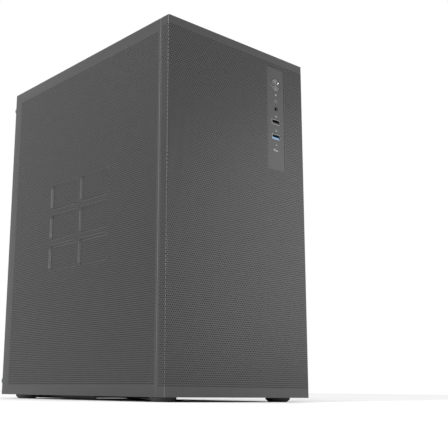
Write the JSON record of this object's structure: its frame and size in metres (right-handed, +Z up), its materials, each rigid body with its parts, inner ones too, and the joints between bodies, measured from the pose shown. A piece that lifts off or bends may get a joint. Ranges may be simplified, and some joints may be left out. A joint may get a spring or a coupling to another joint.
{
  "type": "desktop computer tower",
  "caption": "Compact upright computer tower with a perforated dark grey shell, removable front cover and side panels, a front strip with power button and sockets, and its working parts inside.",
  "frame": {"origin": "centre of the overall box, on the floor under the feet", "axes": "+Z up, the front cover faces -Y, the motherboard tray is on the +X side"},
  "size_m": [0.203, 0.3116, 0.3825],
  "materials": {
    "shell_paint": "fine satin powder coat, dark grey",
    "strip_plastic": "satin, slightly lighter grey than the shell",
    "frame_plastic": "matte black",
    "foot_rubber": "matte",
    "button_metal": "spun, satin",
    "led_lens": "clear white light pipe",
    "port_steel": "bright plated",
    "socket_black": "matte black",
    "socket_blue": "matte blue",
    "screen_mesh": "fine nylon screen, black",
    "screw_steel": "black zinc",
    "plated_steel": "plated",
    "fan_plastic": "matte black",
    "psu_paint": "fine texture black",
    "board_laminate": "matte dark laminate",
    "fin_aluminium": "bare",
    "spreader_metal": "nickel plated",
    "drive_metal": "cast and brushed",
    "guard_wire": "bright wire",
    "brass": "bare",
    "lead_sleeve": "black braided sleeve"
  },
  "bodies": {
    "chassis": {"chassis_floor": "shell_paint", "chassis_top": "shell_paint", "chassis_rear": "shell_paint", "chassis_front": "shell_paint", "motherboard_tray": "shell_paint", "psu_shroud": "shell_paint", "slot_covers": "shell_paint", "drive_cage": "shell_paint", "control_strip": "strip_plastic", "feet": "foot_rubber", "power_led": "led_lens", "usb2_shell": "port_steel", "usb3_shell": "port_steel", "usbc_socket": "port_steel", "rear_ports": "port_steel", "usb2_tongue": "socket_black", "headset_jack": "socket_black", "psu_inlet": "socket_black", "psu_switch": "socket_black", "usb3_tongue": "socket_blue", "case_screws": "screw_steel", "io_shield": "plated_steel", "graphics_bracket": "plated_steel", "lower_front_fan_frame": "fan_plastic", "upper_front_fan_frame": "fan_plastic", "rear_fan_frame": "fan_plastic", "cpu_fan_frame": "fan_plastic", "graphics_shroud": "fan_plastic", "psu_case": "psu_paint", "motherboard": "board_laminate", "front_board": "board_laminate", "memory_modules": "board_laminate", "graphics_board": "board_laminate", "cpu_cooler": "fin_aluminium", "cpu": "spreader_metal", "hard_drive": "drive_metal", "psu_guard": "guard_wire", "standoffs": "brass", "wiring": "lead_sleeve"},
    "left_side": {"left_panel": "shell_paint", "left_liner": "screen_mesh"},
    "right_side": {"right_panel": "shell_paint", "right_liner": "screen_mesh"},
    "front": {"front_cover": "shell_paint", "front_frame": "frame_plastic", "front_filter": "screen_mesh"},
    "top_screen": {"top_filter": "screen_mesh"},
    "bottom_screen": {"bottom_filter": "screen_mesh"},
    "button": {"power_button": "button_metal"},
    "rocker": {"psu_rocker": "socket_black"},
    "lower_front_rotor": {"lower_front_fan_rotor": "fan_plastic"},
    "upper_front_rotor": {"upper_front_fan_rotor": "fan_plastic"},
    "rear_rotor": {"rear_fan_rotor": "fan_plastic"},
    "cooler_rotor": {"cpu_fan_rotor": "fan_plastic"},
    "supply_rotor": {"psu_rotor": "fan_plastic"},
    "card_rotor": {"graphics_rotor": "fan_plastic"},
    "left_lower_screw": {"left_lower_thumbscrew": "screw_steel"},
    "left_upper_screw": {"left_upper_thumbscrew": "screw_steel"},
    "right_lower_screw": {"right_lower_thumbscrew": "screw_steel"},
    "right_upper_screw": {"right_upper_thumbscrew": "screw_steel"}
  },
  "joints": [
    {"name": "left_panel_slide", "type": "slide", "parent": "chassis", "child": "left_side", "axis": [0, 1, 0], "range_m": [0, 0.02]},
    {"name": "right_panel_slide", "type": "slide", "parent": "chassis", "child": "right_side", "axis": [0, 1, 0], "range_m": [0, 0.02]},
    {"name": "left_lower_screw_turn", "type": "hinge", "parent": "left_side", "child": "left_lower_screw", "pos_m": [-0.0935, 0.14925, 0.0205], "axis": [0, 1, 0], "range_deg": [0, 1440]},
    {"name": "left_upper_screw_turn", "type": "hinge", "parent": "left_side", "child": "left_upper_screw", "pos_m": [-0.0935, 0.14925, 0.3645], "axis": [0, 1, 0], "range_deg": [0, 1440]},
    {"name": "right_lower_screw_turn", "type": "hinge", "parent": "right_side", "child": "right_lower_screw", "pos_m": [0.0935, 0.14925, 0.0205], "axis": [0, 1, 0], "range_deg": [0, 1440]},
    {"name": "right_upper_screw_turn", "type": "hinge", "parent": "right_side", "child": "right_upper_screw", "pos_m": [0.0935, 0.14925, 0.3645], "axis": [0, 1, 0], "range_deg": [0, 1440]},
    {"name": "front_cover_pull", "type": "slide", "parent": "chassis", "child": "front", "axis": [0, -1, 0], "range_m": [0, 0.01]},
    {"name": "top_filter_lift", "type": "slide", "parent": "chassis", "child": "top_screen", "axis": [0, 0, 1], "range_m": [0, 0.03]},
    {"name": "bottom_filter_slide", "type": "slide", "parent": "chassis", "child": "bottom_screen", "axis": [0, 1, 0], "range_m": [0, 0.14]},
    {"name": "power_button_press", "type": "slide", "parent": "chassis", "child": "button", "axis": [0, 1, 0], "range_m": [0, 0.0015], "stiffness_N_per_m": 700, "springref_m": -0.001},
    {"name": "supply_switch_tilt", "type": "hinge", "parent": "chassis", "child": "rocker", "pos_m": [0.027, 0.14335, 0.0365], "axis": [1, 0, 0], "range_deg": [-24, 0]},
    {"name": "lower_front_fan_spin", "type": "hinge", "parent": "chassis", "child": "lower_front_rotor", "pos_m": [-0.02, -0.13, 0.178], "axis": [0, 1, 0], "continuous": true},
    {"name": "upper_front_fan_spin", "type": "hinge", "parent": "chassis", "child": "upper_front_rotor", "pos_m": [-0.02, -0.13, 0.3], "axis": [0, 1, 0], "continuous": true},
    {"name": "rear_fan_spin", "type": "hinge", "parent": "chassis", "child": "rear_rotor", "pos_m": [-0.03, 0.135, 0.3], "axis": [0, 1, 0], "continuous": true},
    {"name": "cooler_fan_spin", "type": "hinge", "parent": "chassis", "child": "cooler_rotor", "pos_m": [-0.006, 0.016, 0.29], "axis": [0, 1, 0], "continuous": true},
    {"name": "supply_fan_spin", "type": "hinge", "parent": "chassis", "child": "supply_rotor", "pos_m": [-0.013, 0.07735, 0.02], "axis": [0, 0, 1], "continuous": true},
    {"name": "card_fan_spin", "type": "hinge", "parent": "chassis", "child": "card_rotor", "pos_m": [0.006, 0.03, 0.15], "axis": [0, 0, 1], "continuous": true}
  ]
}
